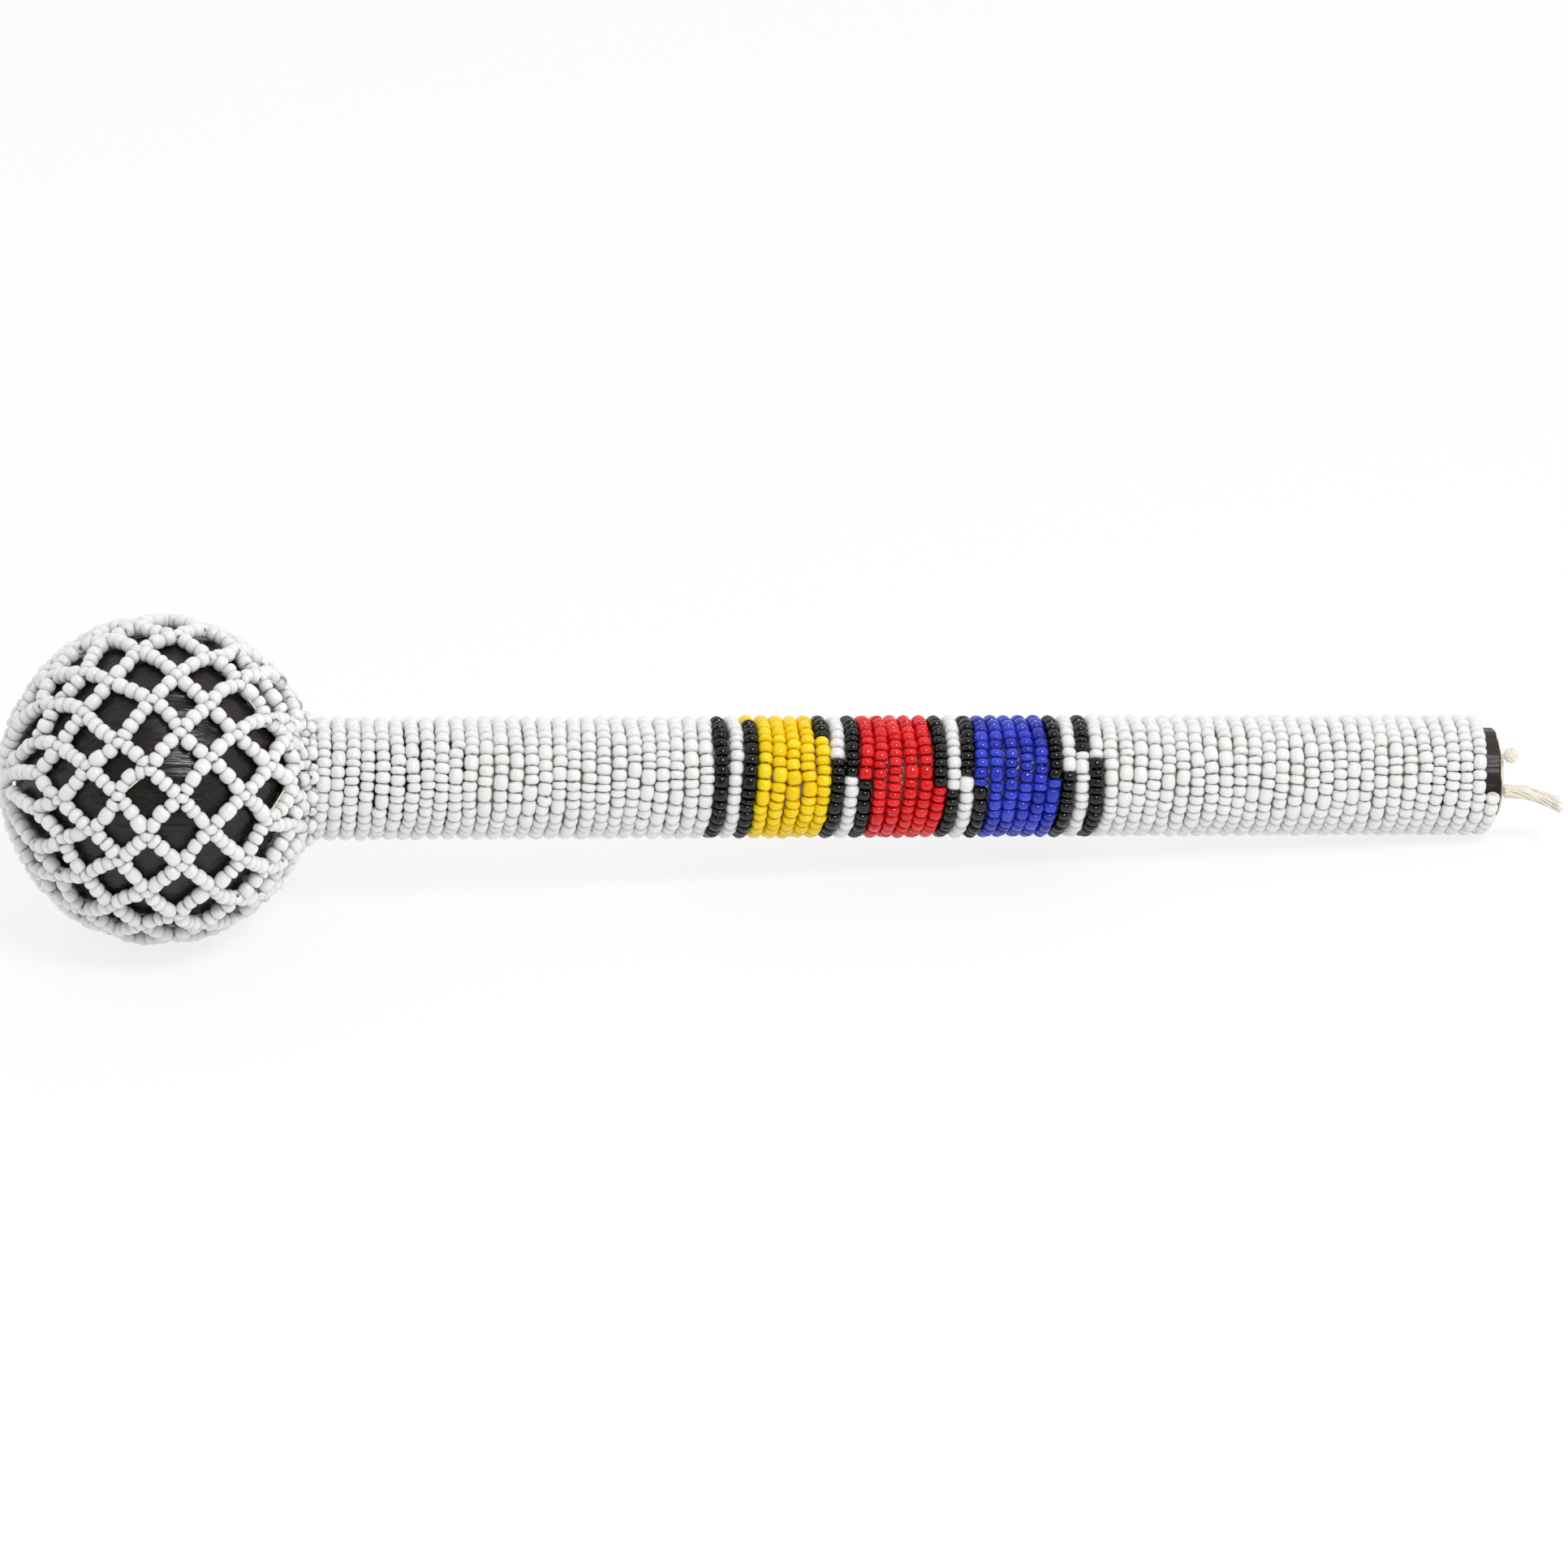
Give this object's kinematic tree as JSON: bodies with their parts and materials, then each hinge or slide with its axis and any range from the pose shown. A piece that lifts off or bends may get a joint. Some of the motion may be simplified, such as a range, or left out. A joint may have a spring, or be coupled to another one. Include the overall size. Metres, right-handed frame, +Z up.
{
  "type": "maraca",
  "caption": "Beaded ball rattle on a straight stick: a dark taped ball head under a white bead net, and a handle wound with beads in colour bands, lying on its side.",
  "frame": {"origin": "under the middle of the bounding box, on the surface that the rattle lies on", "axes": "+X along the stick from the head to the butt, +Z up, +Y across; the rattle lies on its head and its last turn of beads, so the stick slopes down by about 4.3 degrees toward the butt"},
  "size_m": [0.3272, 0.0682, 0.068],
  "materials": {
    "gourd": "dried gourd wall, bare inside",
    "tape": "black stretched tape, wrinkled and shiny",
    "dowel_wood": "pale sanded hardwood",
    "white_bead": "opaque gloss white seed beads",
    "black_bead": "opaque gloss black seed beads",
    "yellow_bead": "opaque gloss yellow seed beads",
    "red_bead": "opaque gloss red seed beads",
    "blue_bead": "opaque gloss blue seed beads",
    "cotton": "cream cotton thread, knotted and frayed",
    "seed": "dry brown seed coat"
  },
  "bodies": {
    "rattle": {"head_shell": "gourd", "head_tape": "tape", "head_bead_net": "white_bead", "handle_dowel": "dowel_wood", "neck_tape": "tape", "butt_tape": "tape", "strand_white_neck": "white_bead", "strand_black_1": "black_bead", "strand_white_1": "white_bead", "strand_black_2": "black_bead", "strand_yellow": "yellow_bead", "strand_black_3": "black_bead", "strand_white_2": "white_bead", "strand_black_4": "black_bead", "strand_red": "red_bead", "strand_black_5": "black_bead", "strand_white_3": "white_bead", "strand_black_6": "black_bead", "strand_blue": "blue_bead", "strand_black_7": "black_bead", "strand_white_4": "white_bead", "strand_black_8": "black_bead", "strand_white_butt": "white_bead", "thread_knot": "cotton", "thread_tail": "cotton"},
    "seed_1_body": {"seed_1": "seed"},
    "seed_2_body": {"seed_2": "seed"},
    "seed_3_body": {"seed_3": "seed"},
    "seed_4_body": {"seed_4": "seed"},
    "seed_5_body": {"seed_5": "seed"},
    "seed_6_body": {"seed_6": "seed"},
    "seed_7_body": {"seed_7": "seed"},
    "seed_8_body": {"seed_8": "seed"}
  },
  "joints": [
    {"name": "seed_1_hop", "type": "slide", "parent": "rattle", "child": "seed_1_body", "axis": [0, 0, 1], "range_m": [0, 0.0451]},
    {"name": "seed_2_hop", "type": "slide", "parent": "rattle", "child": "seed_2_body", "axis": [0, 0, 1], "range_m": [0, 0.0472]},
    {"name": "seed_3_hop", "type": "slide", "parent": "rattle", "child": "seed_3_body", "axis": [0, 0, 1], "range_m": [0, 0.0456]},
    {"name": "seed_4_hop", "type": "slide", "parent": "rattle", "child": "seed_4_body", "axis": [0, 0, 1], "range_m": [0, 0.0413]},
    {"name": "seed_5_hop", "type": "slide", "parent": "rattle", "child": "seed_5_body", "axis": [0, 0, 1], "range_m": [0, 0.037]},
    {"name": "seed_6_hop", "type": "slide", "parent": "rattle", "child": "seed_6_body", "axis": [0, 0, 1], "range_m": [0, 0.037]},
    {"name": "seed_7_hop", "type": "slide", "parent": "rattle", "child": "seed_7_body", "axis": [0, 0, 1], "range_m": [0, 0.0413]},
    {"name": "seed_8_hop", "type": "slide", "parent": "rattle", "child": "seed_8_body", "axis": [0, 0, 1], "range_m": [0, 0.0456]}
  ]
}
